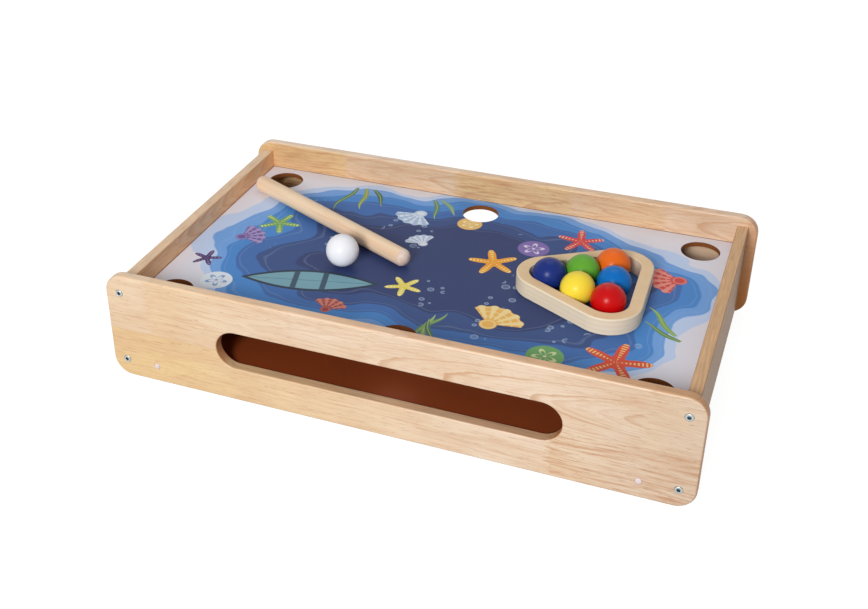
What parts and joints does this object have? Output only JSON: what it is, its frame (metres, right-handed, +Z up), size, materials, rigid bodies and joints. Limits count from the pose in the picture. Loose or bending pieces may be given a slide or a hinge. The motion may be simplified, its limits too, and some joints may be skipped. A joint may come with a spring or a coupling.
{
  "type": "tabletop game box",
  "caption": "Two-sided wooden game box: a six-pocket pool table with balls, rack and cue on top, ball slots in both long sides, and a sling puck board with a gate bar and elastic cords below.",
  "frame": {"origin": "on the floor under the middle of the box", "axes": "+X along the long boards to the right, +Y from the front board to the back board, +Z up from the sling puck side to the pool side"},
  "size_m": [0.6, 0.3618, 0.1238],
  "materials": {
    "rubberwood": "clear satin lacquer",
    "rubberwood_ends": "clear satin lacquer",
    "printed_board": "matt printed face on brown hardboard",
    "hardboard": "smooth brown hardboard",
    "elastic": "woven cover",
    "pale_plastic": "satin",
    "screw_steel": "zinc plated",
    "birch_ply": "clear matt lacquer",
    "beech": "sanded and lacquered",
    "paint_white": "satin paint",
    "paint_navy": "satin paint",
    "paint_green": "satin paint",
    "paint_orange": "satin paint",
    "paint_yellow": "satin paint",
    "paint_blue": "satin paint",
    "paint_red": "satin paint"
  },
  "bodies": {
    "box": {"front_board": "rubberwood", "back_board": "rubberwood", "left_end_board": "rubberwood_ends", "right_end_board": "rubberwood_ends", "pool_bed": "printed_board", "sling_board": "hardboard", "gate_bar": "rubberwood", "left_sling_cord": "elastic", "right_sling_cord": "elastic", "cord_stops": "pale_plastic", "corner_screws": "screw_steel"},
    "rack": {"rack": "birch_ply"},
    "cue": {"cue": "beech"},
    "cue_ball": {"cue_ball": "paint_white"},
    "navy_ball": {"navy_ball": "paint_navy"},
    "green_ball": {"green_ball": "paint_green"},
    "orange_ball": {"orange_ball": "paint_orange"},
    "yellow_ball": {"yellow_ball": "paint_yellow"},
    "blue_ball": {"blue_ball": "paint_blue"},
    "red_ball": {"red_ball": "paint_red"}
  },
  "joints": [
    {"name": "rack_lift", "type": "slide", "parent": "box", "child": "rack", "axis": [0, 0, 1], "range_m": [0, 0.06]},
    {"name": "cue_lift", "type": "slide", "parent": "box", "child": "cue", "axis": [0, 0, 1], "range_m": [0, 0.06]},
    {"name": "cue_ball_lift", "type": "slide", "parent": "box", "child": "cue_ball", "axis": [0, 0, 1], "range_m": [0, 0.06]},
    {"name": "navy_ball_lift", "type": "slide", "parent": "box", "child": "navy_ball", "axis": [0, 0, 1], "range_m": [0, 0.06]},
    {"name": "green_ball_lift", "type": "slide", "parent": "box", "child": "green_ball", "axis": [0, 0, 1], "range_m": [0, 0.06]},
    {"name": "orange_ball_lift", "type": "slide", "parent": "box", "child": "orange_ball", "axis": [0, 0, 1], "range_m": [0, 0.06]},
    {"name": "yellow_ball_lift", "type": "slide", "parent": "box", "child": "yellow_ball", "axis": [0, 0, 1], "range_m": [0, 0.06]},
    {"name": "blue_ball_lift", "type": "slide", "parent": "box", "child": "blue_ball", "axis": [0, 0, 1], "range_m": [0, 0.06]},
    {"name": "red_ball_lift", "type": "slide", "parent": "box", "child": "red_ball", "axis": [0, 0, 1], "range_m": [0, 0.06]}
  ]
}
